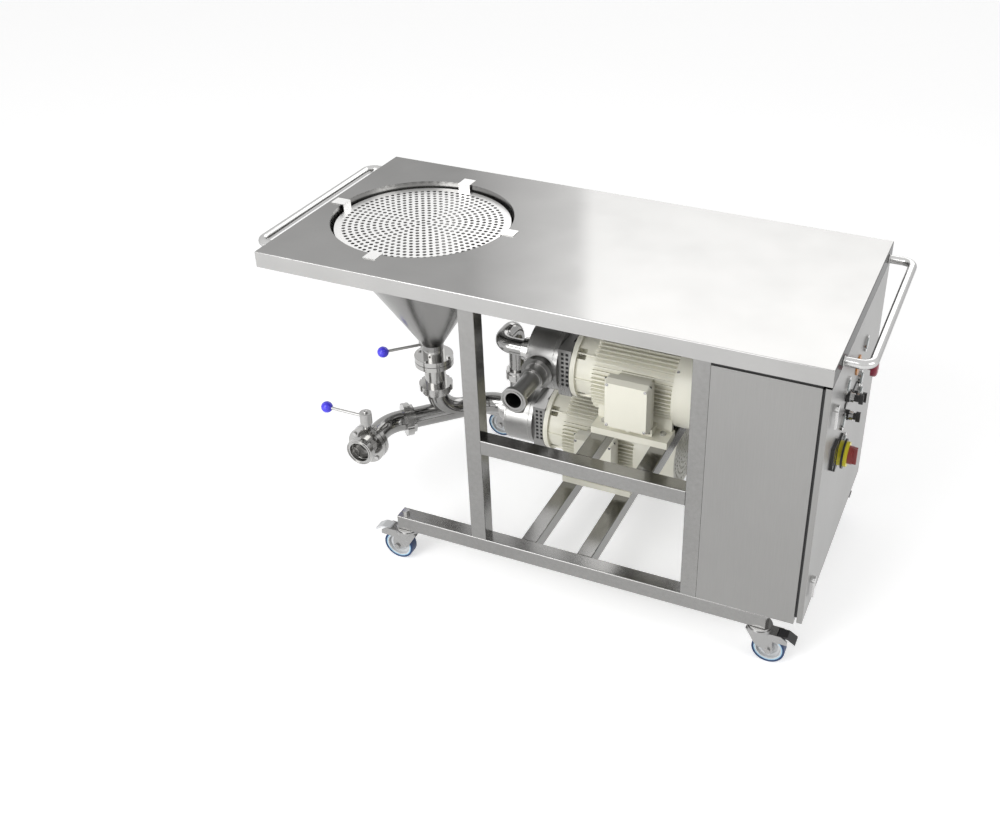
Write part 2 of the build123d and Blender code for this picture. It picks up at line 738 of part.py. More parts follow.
def motor_housing(name):
    """A finned motor body with its flange, its feet and the pad for the terminal box."""
    x, y, z = heads[name]
    rod((x, y, z), (1, 0, 0), motor_flange_radius, motor_flange)
    rod((x + motor_flange, y, z), (1, 0, 0), shield_radius, shield_end - motor_flange)
    rod((x + motor_flange, y, z), (1, 0, 0), bolt_pocket, bolt_pocket_length, spots=flange_bolts,
        mode=Mode.SUBTRACT)
    rod((x + shield_end, y, z), (1, 0, 0), core_radius, body_end - shield_end)
    rod((x + body_end - rim_length, y, z), (1, 0, 0), fin_radius, rim_length)
    foot_low = z - shaft_height
    foot_start = x + foot_places[0] - foot_margin
    foot_end = x + foot_places[1] + foot_margin
    web_end = x + body_end - rim_length - seat_gap
    for side in (-1, 1):
        plate_low, plate_high = sorted((side * foot_inner, side * foot_half_width))
        web_low, web_high = sorted((side * foot_inner, side * (foot_inner + foot_web)))
        block_low, block_high = sorted((side * foot_inner, side * foot_block_side))
        block((foot_start, y + plate_low, foot_low), (foot_end, y + plate_high, foot_low + foot_thickness))
        block((foot_start, y + web_low, foot_low), (web_end, y + web_high, z - foot_inner / 2))
        block((foot_start + 2 * foot_margin, y + block_low, foot_low),
              (foot_end - 2 * foot_margin, y + block_high, foot_low + foot_block))
    block((x + box_start + box_pad_inset, y - box_pad, z - box_height / 2 + box_pad_inset),
          (x + box_start + box_length - box_pad_inset, y - foot_inner, z + box_height / 2 - box_pad_inset))
    rod((x + motor_wall, y, z), (1, 0, 0), stator_radius, body_end - 2 * motor_wall, mode=Mode.SUBTRACT)
    rod((x, y, z), (1, 0, 0), shield_hole, body_end, mode=Mode.SUBTRACT)
    for seat_x in bearing_places:
        rod((x + seat_x, y, z), (1, 0, 0), bearing_radius, bearing_width, mode=Mode.SUBTRACT)
    rod((x, y, z), (1, 0, 0), flange_bolt_radius + seat_gap, motor_flange, spots=flange_bolts,
        mode=Mode.SUBTRACT)
    rod((x, y, foot_low), (0, 0, 1), flange_bolt_radius + seat_gap, foot_thickness, spots=foot_bolts,
        mode=Mode.SUBTRACT)
    fin_depth = fin_radius - core_radius
    with BuildSketch(Plane(origin=(x + shield_end, y, z), x_dir=(0, 1, 0), z_dir=(1, 0, 0))) as fins:
        with PolarLocations(core_radius + fin_depth / 2 - fin_width, fin_count):
            Rectangle(fin_depth + 2 * fin_width, fin_width)
    extrude(fins.sketch, amount=body_end - rim_length - shield_end)


with BuildPart() as pump_motor_housing:
    motor_housing("pump")
with BuildPart() as mixer_motor_housing:
    motor_housing("mixer")

# Fan cowls and terminal boxes of both motors
with BuildPart() as motor_covers:
    for x, y, z in heads.values():
        cowl_start = x + body_end - rim_length
        cowl_inner = fin_radius + seat_gap
        rod((cowl_start, y, z), (1, 0, 0), cowl_inner + cowl_sheet, x + cowl_end - cowl_start)
        rod((cowl_start, y, z), (1, 0, 0), cowl_inner, x + cowl_end - sheet - cowl_start, mode=Mode.SUBTRACT)
        grille_plane = Plane(origin=(x + cowl_end - sheet, y, z), x_dir=(0, 1, 0), z_dir=(1, 0, 0))
        with BuildSketch(grille_plane) as grille:
            for ring in range(1, grille_rings + 1):
                with PolarLocations(ring * grille_pitch, 6 * ring):
                    Circle(grille_hole)
        extrude(grille.sketch, amount=sheet, mode=Mode.SUBTRACT)
        box_middle = (x + box_start + box_length / 2, y - box_pad, z)
        with BuildSketch(Plane(origin=box_middle, x_dir=(1, 0, 0), z_dir=(0, -1, 0))) as box_outline:
            RectangleRounded(box_length, box_height, box_corner)
        extrude(box_outline.sketch, amount=box_base - box_pad)
        rod((x + box_start + box_length / 2, y - (box_pad + box_base) / 2, z - box_height / 2), (0, 0, -1),
            gland_radius, gland_length)
        lid_plane = Plane(origin=(box_middle[0], y - box_base, z), x_dir=(1, 0, 0), z_dir=(0, -1, 0))
        with BuildSketch(lid_plane) as lid_outline:
            RectangleRounded(box_length + 2 * sheet, box_height + 2 * sheet, box_corner)
        extrude(lid_outline.sketch, amount=box_face - box_base, taper=24)

# Ball bearings of both motors, as closed rings
with BuildPart() as bearings:
    for x, y, z in heads.values():
        for seat_x in bearing_places:
            rod((x + seat_x, y, z), (1, 0, 0), bearing_radius, bearing_width, bore=shaft_radius + running_gap)

# Shafts with the motor rotor and the cooling fan
impeller_x = head_back - impeller_back


def motor_shaft(name):
    """The shaft from the impeller to the fan."""
    x, y, z = heads[name]
    fan_start = body_end + motor_wall
    rod((x + impeller_x - vane_depth, y, z), (1, 0, 0), shaft_radius,
        fan_start + fan_width - impeller_x + vane_depth)
    rod((x + 2 * motor_wall, y, z), (1, 0, 0), rotor_radius, body_end - 4 * motor_wall)
    rod((x + fan_start, y, z), (1, 0, 0), 2 * shaft_radius, fan_width)
    with BuildSketch(Plane(origin=(x + fan_start, y, z), x_dir=(0, 1, 0), z_dir=(1, 0, 0))) as blades:
        with PolarLocations((fan_radius + shaft_radius) / 2, fan_blades):
            Rectangle(fan_radius - shaft_radius, vane_width)
    extrude(blades.sketch, amount=fan_width)


with BuildPart() as pump_shaft:
    motor_shaft("pump")
with BuildPart() as mixer_shaft:
    motor_shaft("mixer")


def hub_plate(name):
    """The back plate and hub that carry the vanes or the teeth."""
    x, y, z = heads[name]
    rod((x + impeller_x, y, z), (1, 0, 0), impeller_radius, impeller_plate)
    rod((x + impeller_x - vane_depth, y, z), (1, 0, 0), hub_outer, vane_depth)
    rod((x + impeller_x - vane_depth, y, z), (1, 0, 0), shaft_radius + running_gap,
        vane_depth + impeller_plate,
        mode=Mode.SUBTRACT)


with BuildPart() as pump_impeller:
    hub_plate("pump")
    vane_start = (pump_flange_x + impeller_x - vane_depth, pump_y, pump_z)
    with BuildSketch(Plane(origin=vane_start, x_dir=(0, 1, 0), z_dir=(1, 0, 0))) as vanes:
        with PolarLocations((impeller_radius + shaft_radius) / 2, vane_count):
            Rectangle(impeller_radius - shaft_radius - 2 * vane_width, vane_width)
    extrude(vanes.sketch, amount=vane_depth)

rotor_outer = impeller_radius
stator_inner = rotor_outer + stator_gap
with BuildPart() as mixer_rotor:
    hub_plate("mixer")
    ring_start = mixer_flange_x + impeller_x - vane_depth
    rod((ring_start, mixer_y, mixer_z), (1, 0, 0), rotor_outer, vane_depth, bore=rotor_outer - rotor_ring)
    rotor_plane = Plane(origin=(ring_start, mixer_y, mixer_z), x_dir=(0, 1, 0), z_dir=(1, 0, 0))
    with BuildSketch(rotor_plane) as rotor_cuts:
        with PolarLocations(rotor_outer - rotor_ring / 2, rotor_slots):
            Rectangle(2 * rotor_ring, rotor_slot)
    extrude(rotor_cuts.sketch, amount=vane_depth - impeller_plate, mode=Mode.SUBTRACT)

with BuildPart() as mixer_stator:
    stator_start = mixer_flange_x + head_front + head_wall
    stator_end = mixer_flange_x + impeller_x
    rod((stator_start, mixer_y, mixer_z), (1, 0, 0), head_radius - head_wall - seat_gap, impeller_plate,
        bore=2 * hub_outer)
    rod((stator_start, mixer_y, mixer_z), (1, 0, 0), stator_inner + stator_ring, stator_end - stator_start,
        bore=stator_inner)
    stator_plane = Plane(origin=(stator_end - vane_depth, mixer_y, mixer_z), x_dir=(0, 1, 0), z_dir=(1, 0, 0))
    with BuildSketch(stator_plane) as stator_cuts:
        with PolarLocations(stator_inner + stator_ring / 2, rotor_slots):
            Rectangle(2 * stator_ring, rotor_slot)
    extrude(stator_cuts.sketch, amount=vane_depth - impeller_plate, mode=Mode.SUBTRACT)

# Cabinet: a box with a lip round its open end, standing on the base rails
cabinet_start = post_right + tube / 2
cabinet_top = skirt_bottom - cabinet_lid_gap
half_depth = table_depth / 2
with BuildPart() as cabinet:
    block((cabinet_start, -half_depth, rail_top), (cabinet_end, half_depth, cabinet_top))
    block((cabinet_start + sheet, -half_depth + sheet, rail_top + sheet),
          (cabinet_end - sheet, half_depth - sheet, cabinet_top - sheet), mode=Mode.SUBTRACT)
    block((cabinet_end - sheet, -half_depth + cabinet_lip, rail_top + cabinet_lip),
          (cabinet_end, half_depth - cabinet_lip, cabinet_top - cabinet_lip), mode=Mode.SUBTRACT)
    rod((0, 0, rail_top), (0, 0, 1), king_nut_radius + sheet, sheet, spots=king_bolts, mode=Mode.SUBTRACT)

# Mounting plate with two motor drives and a row of terminals
gear_x = cabinet_start + sheet
with BuildPart() as control_gear:
    block((gear_x + weld_gap, -half_depth + 3 * cabinet_lip, rail_top + 3 * cabinet_lip),
          (gear_x + 2 * sheet, half_depth - 3 * cabinet_lip, cabinet_top - 3 * cabinet_lip))
    drive_face = gear_x + 2 * sheet
    for drive_y in (-half_depth / 2, half_depth / 8):
        block((drive_face, drive_y, cabinet_top - 0.55 * skirt_bottom),
              (drive_face + 3 * tube, drive_y + 3 * tube, cabinet_top - 2 * tube - 3 * cabinet_lip))
    for terminal in range(10):
        terminal_y = -half_depth / 2 + terminal * tube / 2
        block((drive_face, terminal_y, rail_top + 2 * tube),
              (drive_face + tube, terminal_y + tube / 3, rail_top + 3 * tube))

# Door pan with holes for its controls
door_low = rail_top + door_foot
door_top = skirt_bottom - door_head
control_places = [*button_places.values(), *lamp_places, *selector_places.values(), stop_place,
                  isolator_place]
latch_places = {name: (latch_y, height) for name, height in latch_heights.items()}
hinge_x = door_face - door_thickness / 2
hinge_y = door_back + hinge_radius + 1
with BuildPart() as door:
    block((door_inner, -half_depth, door_low), (door_face, door_back, door_top))
    block((door_inner, -half_depth + sheet, door_low + sheet),
          (door_face - sheet, door_back - sheet, door_top - sheet), mode=Mode.SUBTRACT)
    for hole_y, hole_z in control_places:
        rod((door_inner, hole_y, hole_z), (1, 0, 0), control_hole, 2 * door_thickness, mode=Mode.SUBTRACT)
    for hole_y, hole_z in latch_places.values():
        rod((door_inner, hole_y, hole_z), (1, 0, 0), stem_radius + running_gap, 2 * door_thickness,
            mode=Mode.SUBTRACT)
    for hinge_z in hinge_heights:
        knuckle_z = hinge_z + seat_gap
        rod((hinge_x, hinge_y, knuckle_z), (0, 0, 1), hinge_radius, hinge_length)
        block((hinge_x - hinge_leaf / 2, door_back - sheet / 2, knuckle_z),
              (hinge_x + hinge_leaf / 2, hinge_y, knuckle_z + hinge_length))
        rod((hinge_x, hinge_y, knuckle_z), (0, 0, 1), hinge_pin + running_gap, hinge_length,
            mode=Mode.SUBTRACT)

# Hinge pins with the knuckles that are fixed to the cabinet
with BuildPart() as door_hinges:
    for hinge_z in hinge_heights:
        rod((hinge_x, hinge_y, hinge_z - hinge_length), (0, 0, 1), hinge_radius, hinge_length)
        rod((hinge_x, hinge_y, hinge_z), (0, 0, 1), hinge_pin, hinge_length + seat_gap)
        block((cabinet_end, hinge_y - hinge_leaf / 2, hinge_z - hinge_length),
              (hinge_x, hinge_y + hinge_leaf / 2, hinge_z))

# Rubber: valve seats, door seal, the strip over the cabinet and the shaft seals
with BuildPart() as seals:
    valve_seat(funnel_valve)
    valve_seat(outlet_valve)
    seal_low = rail_top + gasket_foot
    seal_high = cabinet_top - gasket_inset
    seal_side = half_depth - gasket_inset
    block((cabinet_end, -seal_side, seal_low), (door_inner - seat_gap, seal_side - gasket_width, seal_high))
    block((cabinet_end, -seal_side + gasket_width, seal_low + gasket_width),
          (door_inner - seat_gap, seal_side - 2 * gasket_width, seal_high - gasket_width), mode=Mode.SUBTRACT)
    block((cabinet_start + seat_gap, -half_depth + gasket_inset, cabinet_top),
          (cabinet_end, half_depth - gasket_inset, skirt_bottom))
    block((cabinet_start + gasket_width, -half_depth + gasket_inset + gasket_width, cabinet_top),
          (cabinet_end - gasket_width, half_depth - gasket_inset - gasket_width, skirt_bottom), mode=Mode.SUBTRACT)
    for x, y, z in heads.values():
        rod((x + head_back - lantern_plate, y, z), (1, 0, 0), hub_outer, lantern_plate,
            bore=shaft_radius + running_gap)

# Bolts of the valves, motor flanges, motor feet and casters
bolt_head = 1.2 * flange_bolt_radius
head_size = 1.6 * flange_bolt_radius
with BuildPart() as fasteners:
    valve_bolts(funnel_valve)
    valve_bolts(outlet_valve)
    for x, y, z in heads.values():
        rod((x - lantern_plate, y, z), (1, 0, 0), flange_bolt_radius, lantern_plate + motor_flange,
            spots=flange_bolts)
        hexagon((x + motor_flange, y, z), (1, 0, 0), head_size, bolt_head, flange_bolts)
        hexagon((x - lantern_plate - bolt_head, y, z), (1, 0, 0), head_size, bolt_head, flange_bolts)
        bolt_low = z - shaft_height - 4 * tube_wall
        bolt_high = z - shaft_height + foot_thickness
        rod((x, y, bolt_low), (0, 0, 1), flange_bolt_radius, bolt_high - bolt_low, spots=foot_bolts)
        hexagon((x, y, bolt_high), (0, 0, 1), head_size, bolt_head, foot_bolts)
    king_low = crown_bottom - seat_gap - king_head
    rod((0, 0, king_low), (0, 0, 1), king_bolt_radius, rail_top + king_nut_length - king_low,
        spots=king_bolts)
    rod((0, 0, king_low), (0, 0, 1), king_nut_radius, king_head, spots=king_bolts)
    rod((0, 0, caster_height - raceway_height), (0, 0, 1), crown_radius - fork_plate, raceway_height,
        spots=king_bolts)
    hexagon((0, 0, rail_top), (0, 0, 1), king_nut_radius, king_nut_length, king_bolts)


def dial(centre, outer, inner, thickness):
    """A ring that lies on the door."""
    rod((door_face, centre[0], centre[1]), (1, 0, 0), outer, thickness, bore=inner)


def door_plate(centre, width, height, start, thickness, mode=Mode.ADD):
    """A flat rectangle that lies on the door."""
    block((start, centre[0] - width / 2, centre[1] - height / 2),
          (start + thickness, centre[0] + width / 2, centre[1] + height / 2), mode)


# Rings round the buttons, lamps and selectors
with BuildPart() as control_bezels:
    for place_on_door in (*button_places.values(), *lamp_places):
        dial(place_on_door, dial_radius, cap_radius + seat_gap, dial_thickness)
    for selector_y, selector_z in selector_places.values():
        rod((door_face + selector_base, selector_y, selector_z), (1, 0, 0), bezel_radius - sheet,
            bezel_length,
            bore=grip_radius + seat_gap)

# Lamp lenses
with BuildPart() as pilot_lamps:
    for lamp_y, lamp_z in lamp_places:
        rod((door_face, lamp_y, lamp_z), (1, 0, 0), cap_radius, dial_thickness + sheet)
        rod((door_face, lamp_y, lamp_z), (-1, 0, 0), barrel_radius, barrel_length)
    lens_edges = pilot_lamps.faces().sort_by(Axis.X)[-len(lamp_places):].edges()
    fillet(lens_edges, radius=1.5)


def push_button(centre):
    """A flat cap on a stem that goes through the door."""
    cap_start = door_face + cap_gap
    rod((cap_start, *centre), (1, 0, 0), cap_radius, cap_length)
    rod((cap_start, *centre), (-1, 0, 0), barrel_radius, barrel_length)


def selector(name):
    """A round grip with a bar across its end, on a stem that goes through the door."""
    y, z = selector_places[name]
    tip = door_face + selector_stands[name]
    rod((door_face + seat_gap, y, z), (1, 0, 0), grip_radius, tip - grip_bar_length - door_face - seat_gap)
    rod((door_face + seat_gap, y, z), (-1, 0, 0), barrel_radius, barrel_length)
    block((tip - grip_bar_length, y - grip_bar / 2, z - bezel_radius),
          (tip, y + grip_bar / 2, z + bezel_radius))


with BuildPart() as start_button:
    push_button(button_places["start_button"])
with BuildPart() as stop_button:
    push_button(button_places["stop_button"])
with BuildPart() as selector_1:
    selector("selector_1")
with BuildPart() as selector_2:
    selector("selector_2")
with BuildPart() as selector_3:
    selector("selector_3")

with BuildPart() as emergency_stop:
    rod((door_face + mushroom_stand, *stop_place), (1, 0, 0), mushroom_radius, mushroom_length)
    fillet(emergency_stop.faces().sort_by(Axis.X)[-1].edges(), radius=mushroom_length / 2)
    rod((door_face + mushroom_stand, *stop_place), (-1, 0, 0), barrel_radius, mushroom_stand + barrel_length)

# Yellow parts: the body of the isolator and the collar of the emergency stop
warning_start = door_face + plate_thickness
ring_start = warning_start + warning_length
front_start = ring_start + ring_length
knob_start = front_start + isolator_front
with BuildPart() as warning_plates:
    rod((warning_start, *isolator_place), (1, 0, 0), warning_radius, warning_length)
    rod((ring_start, *isolator_place), (1, 0, 0), ring_hub, ring_length)
    rod((front_start, *isolator_place), (1, 0, 0), warning_radius, isolator_front)
    rod((warning_start, *isolator_place), (1, 0, 0), barrel_radius + seat_gap, knob_start - warning_start,
        mode=Mode.SUBTRACT)
    dial(stop_place, stop_collar_radius, barrel_radius + seat_gap, stop_collar)

# Black parts: the plate and ring of the isolator, the display, the selector bases and two label bars
with BuildPart() as switch_plates:
    block((door_face, isolator_place[0] - plate_half, isolator_place[1] - plate_half),
          (warning_start, isolator_place[0] + plate_half, isolator_place[1] + plate_half))
    rod((door_face, *isolator_place), (1, 0, 0), control_hole, plate_thickness, mode=Mode.SUBTRACT)
    rod((ring_start + seat_gap / 2, *isolator_place), (1, 0, 0), ring_radius, ring_length - seat_gap,
        bore=ring_hub + seat_gap)
    door_plate(display_place, display_width, display_height, door_face, display_thickness)
    door_plate(display_place, display_width - 6 * sheet, display_height - 6 * sheet,
               door_face + display_thickness - sheet, sheet, mode=Mode.SUBTRACT)
    for label_place in label_places:
        door_plate(label_place, label_width, label_height, door_face, label_thickness)
    for selector_place in selector_places.values():
        dial(selector_place, bezel_radius, grip_radius + seat_gap, selector_base)

with BuildPart() as isolator_knob:
    rod((knob_start + seat_gap, *isolator_place), (1, 0, 0), isolator_radius, isolator_length / 2)
    bar_y, bar_z = isolator_place
    block((knob_start + isolator_length / 2, bar_y - grip_radius / 2, bar_z - isolator_radius),
          (knob_start + isolator_length, bar_y + grip_radius / 2, bar_z + isolator_radius))
    rod((knob_start + seat_gap, *isolator_place), (-1, 0, 0), barrel_radius,
        knob_start - door_face + barrel_length)


def latch(centre):
    """A hanging lever, its spindle through the door and the cam behind the door."""
    rod((door_face + seat_gap, *centre), (1, 0, 0), latch_boss, latch_boss_length)
    arm_start = door_face + latch_boss_length - latch_arm_thickness
    block((arm_start, centre[0] - latch_arm_width / 2, centre[1] - latch_arm),
          (arm_start + latch_arm_thickness, centre[0] + latch_arm_width / 2, centre[1]))
    cam_start = cabinet_end - 2 * sheet - hinge_leaf
    rod((cam_start, *centre), (1, 0, 0), stem_radius, door_face + sheet - cam_start)
    block((cam_start, centre[0] - latch_cam, centre[1] - latch_arm_width / 2),
          (cam_start + hinge_leaf, centre[0], centre[1] + latch_arm_width / 2))


with BuildPart() as latch_upper:
    latch(latch_places["latch_upper"])
with BuildPart() as latch_lower:
    latch(latch_places["latch_lower"])

# Casters: each has a swivelling fork, a wheel with its tyre and a brake pedal
cheek_inner = fork_half - fork_plate


def caster_fork(x, y, way):
    """A crown below the raceway with two cheeks that hold the axle and the pin of the pedal."""
    axle_x = x + way * caster_trail
    pivot_x = x + way * pedal_pivot
    with BuildPart() as fork:
        rod((x, y, crown_bottom), (0, 0, 1), crown_radius, crown_height)
        bridge_low, bridge_high = sorted((x, pivot_x - way * (pedal_eye + 1)))
        block((bridge_low, y - fork_half, crown_bottom),
              (bridge_high, y + fork_half, crown_bottom + fork_plate))
        with BuildSketch(Plane(origin=(0, y + fork_half, 0), x_dir=(1, 0, 0), z_dir=(0, -1, 0))) as cheeks:
            with BuildLine():
                Polyline(
                    (x - way * crown_radius, crown_bottom + fork_plate),
                    (pivot_x + way * pedal_eye, crown_bottom + fork_plate),
                    (x + way * fork_nose_reach, fork_nose_z + fork_nose_depth),
                    (x + way * fork_nose_reach, fork_nose_z),
                    (x + way * fork_notch_reach, fork_notch_z),
                    (axle_x + way * 3 * axle_radius, axle_z),
                    (axle_x + way * axle_radius, axle_z - 3 * axle_radius),
                    (axle_x - way * axle_radius, axle_z - 3 * axle_radius),
                    (axle_x - way * 3 * axle_radius, axle_z),
                    (x + way * fork_heel_x, fork_heel_z),
                    close=True,
                )
            make_face()
        extrude(cheeks.sketch, amount=2 * fork_half)
        past_tip = x + way * 2 * (pedal_pivot + pedal_reach)
        low, high = sorted((x - way * 2 * crown_radius, past_tip))
        block((low, y - cheek_inner, 0), (high, y + cheek_inner, crown_bottom), mode=Mode.SUBTRACT)
        low, high = sorted((pivot_x - way * (pedal_eye + 1), past_tip))
        block((low, y - cheek_inner, crown_bottom), (high, y + cheek_inner, caster_height),
              mode=Mode.SUBTRACT)
        rod((x, y, crown_bottom), (0, 0, 1), king_bolt_radius + running_gap, crown_height, mode=Mode.SUBTRACT)
        rod((axle_x, y - fork_half, axle_z), (0, 1, 0), axle_radius, 2 * fork_half)
        rod((pivot_x, y - fork_half, pivot_z), (0, 1, 0), pedal_pin, 2 * fork_half)
        for side in (-1, 1):
            hexagon((axle_x, y + side * fork_half, axle_z), (0, side, 0), 1.8 * axle_radius, axle_radius)
    return fork


def caster_wheel(x, y, way):
    """A hub with a web and a boss, and the tyre round it."""
    axle_x = x + way * caster_trail
    hub_radius_outer = wheel_radius - tyre_depth - weld_gap
    with BuildPart() as wheel:
        with BuildSketch(Plane(origin=(axle_x, y, axle_z), x_dir=(1, 0, 0), z_dir=(0, 0, 1))):
            with Locations((wheel_radius - tyre_depth / 2, 0)):
                RectangleRounded(tyre_depth, wheel_width, tyre_corner)
            with Locations((hub_radius_outer - wheel_rim / 2, 0)):
                Rectangle(wheel_rim, wheel_width - 2 * tyre_corner)
            with Locations(((hub_radius_outer + axle_radius + running_gap) / 2, 0)):
                Rectangle(hub_radius_outer - axle_radius - running_gap, wheel_web)
            with Locations((axle_radius + running_gap + wheel_boss / 2, 0)):
                Rectangle(wheel_boss, wheel_width)
        revolve(axis=Axis((axle_x, y, axle_z), (0, 1, 0)))
    return wheel


def caster_pedal(x, y, way):
    """A sloping tread on an eye, with a nose that brakes the tyre."""
    pivot_x = x + way * pedal_pivot
    tip_x = pivot_x + way * pedal_reach
    with BuildPart() as pedal:
        side_plane = Plane(origin=(0, y + pedal_width / 2, 0), x_dir=(1, 0, 0), z_dir=(0, -1, 0))
        with BuildSketch(side_plane) as side_view:
            with Locations((pivot_x, pivot_z)):
                Circle(pedal_eye)
            with Locations((pivot_x, pivot_z - brake_nose / 2)):
                Rectangle(pedal_eye, brake_nose)
            with BuildLine():
                Polyline(
                    (pivot_x, pivot_z + pedal_eye),
                    (pivot_x + way * pedal_reach / 2, pivot_z + pedal_eye),
                    (tip_x, pivot_z + pedal_eye - pedal_slope),
                    (tip_x, pivot_z + pedal_eye - pedal_slope - pedal_thickness),
                    (pivot_x + way * pedal_reach / 2, pivot_z + pedal_eye - pedal_thickness),
                    (pivot_x, pivot_z + pedal_eye - pedal_thickness),
                    close=True,
                )
            make_face()
            with Locations((pivot_x, pivot_z)):
                Circle(pedal_pin + running_gap, mode=Mode.SUBTRACT)
        extrude(side_view.sketch, amount=pedal_width)
    return pedal


pieces = {
    "worktop": worktop,
    "hopper": hopper,
    "strainer": strainer,
    "frame_posts": frame_posts,
    "frame_rails": frame_rails,
    "handles": handles,
    "fasteners": fasteners,
    "hopper_valve_body": hopper_valve_body,
    "hopper_valve_disc": hopper_valve_disc,
    "hopper_valve_knob": hopper_valve_knob,
    "outlet_valve_body": outlet_valve_body,
    "outlet_valve_disc": outlet_valve_disc,
    "outlet_valve_knob": outlet_valve_knob,
    "suction_pipe": suction_pipe,
    "outlet_elbow": outlet_elbow,
    "feed_pipe": feed_pipe,
    "union_nuts": union_nuts,
    "pump_casing": pump_casing,
    "mixer_casing": mixer_casing,
    "lanterns": lanterns,
    "shaft_guards": shaft_guards,
    "pump_motor_housing": pump_motor_housing,
    "mixer_motor_housing": mixer_motor_housing,
    "motor_covers": motor_covers,
    "bearings": bearings,
    "pump_shaft": pump_shaft,
    "pump_impeller": pump_impeller,
    "mixer_shaft": mixer_shaft,
    "mixer_rotor": mixer_rotor,
    "mixer_stator": mixer_stator,
    "seals": seals,
    "cabinet": cabinet,
    "control_gear": control_gear,
    "door": door,
    "door_hinges": door_hinges,
    "latch_upper": latch_upper,
    "latch_lower": latch_lower,
    "start_button": start_button,
    "stop_button": stop_button,
    "selector_1": selector_1,
    "selector_2": selector_2,
    "selector_3": selector_3,
    "emergency_stop": emergency_stop,
    "isolator_knob": isolator_knob,
    "warning_plates": warning_plates,
    "switch_plates": switch_plates,
    "pilot_lamps": pilot_lamps,
    "control_bezels": control_bezels,
}
for caster_name, caster in casters.items():
    pieces[f"{caster_name}_fork"] = caster_fork(*caster)
    pieces[f"{caster_name}_wheel"] = caster_wheel(*caster)
    pieces[f"{caster_name}_pedal"] = caster_pedal(*caster)
for piece_name, piece in pieces.items():
    piece.part.label = piece_name
    export_step(piece.part, f"parts/{piece_name}.step")
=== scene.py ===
"""Looks of the high shear mixer trolley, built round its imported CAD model."""

import json
import math

import bmesh
import bpy
from mathutils import Matrix, Vector


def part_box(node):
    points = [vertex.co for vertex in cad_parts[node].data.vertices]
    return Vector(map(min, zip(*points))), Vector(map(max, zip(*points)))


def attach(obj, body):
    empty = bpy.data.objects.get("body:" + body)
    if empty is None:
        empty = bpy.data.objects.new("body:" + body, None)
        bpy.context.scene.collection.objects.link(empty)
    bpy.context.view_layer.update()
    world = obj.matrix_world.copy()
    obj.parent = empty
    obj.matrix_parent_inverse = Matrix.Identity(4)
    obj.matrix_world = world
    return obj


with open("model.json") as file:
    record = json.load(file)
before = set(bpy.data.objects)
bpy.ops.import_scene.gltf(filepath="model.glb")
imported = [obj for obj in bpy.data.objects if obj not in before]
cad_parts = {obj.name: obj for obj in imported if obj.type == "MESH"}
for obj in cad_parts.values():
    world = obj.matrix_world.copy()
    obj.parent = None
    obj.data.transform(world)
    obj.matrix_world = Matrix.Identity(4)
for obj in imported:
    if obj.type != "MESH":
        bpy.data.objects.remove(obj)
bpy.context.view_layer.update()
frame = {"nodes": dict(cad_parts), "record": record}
nodes = frame["nodes"]
joints = {joint["name"]: joint for joint in frame["record"]["behaviour"]["joints"]}

# Places taken from the frame, in metres
PUMP = Vector(joints["pump_spin"]["pos_m"])
MIXER = Vector(joints["mixer_spin"]["pos_m"])
DOOR_FACE = joints["selector_1_turn"]["pos_m"][0]
CASTERS = ("front_left", "rear_left", "front_right", "rear_right")
FRONT, UP, RIGHT = Vector((0, -1, 0)), Vector((0, 0, 1)), Vector((1, 0, 0))


# Camera
def make_camera():
    """The photograph's camera, solved from the edges of the worktop, the frame and the motors."""
    yaw, pitch, roll = (math.radians(a) for a in (-20.8262, 32.2818, 0.9968))
    forward = Vector((math.cos(pitch) * math.sin(yaw), math.cos(pitch) * math.cos(yaw), -math.sin(pitch)))
    right = forward.cross(UP).normalized()
    up = right.cross(forward)
    side = right * math.cos(roll) + up * math.sin(roll)
    top = up * math.cos(roll) - right * math.sin(roll)
    data = bpy.data.cameras.new("camera")
    data.sensor_width = 36.0
    data.lens = 42.773
    data.shift_x = -0.11736
    data.shift_y = -0.02443
    data.clip_end = 60.0
    camera = bpy.data.objects.new("camera", data)
    turn = Matrix((side, top, -forward)).transposed().to_4x4()
    camera.matrix_world = Matrix.Translation((1.23369, -2.91319, 2.56034)) @ turn
    bpy.context.scene.collection.objects.link(camera)
    bpy.context.scene.camera = camera


make_camera()


def seen_ray(tree):
    """1 for rays from the camera, from reflections and through glass, 0 for those that carry light."""
    path = tree.nodes.new("ShaderNodeLightPath")
    value = path.outputs["Is Camera Ray"]
    for name in ("Is Glossy Ray", "Is Transmission Ray"):
        larger = tree.nodes.new("ShaderNodeMath")
        larger.operation = "MAXIMUM"
        tree.links.new(value, larger.inputs[0])
        tree.links.new(path.outputs[name], larger.inputs[1])
        value = larger.outputs["Value"]
    return value


# Materials
GRAIN_DEPTH = 0.0002


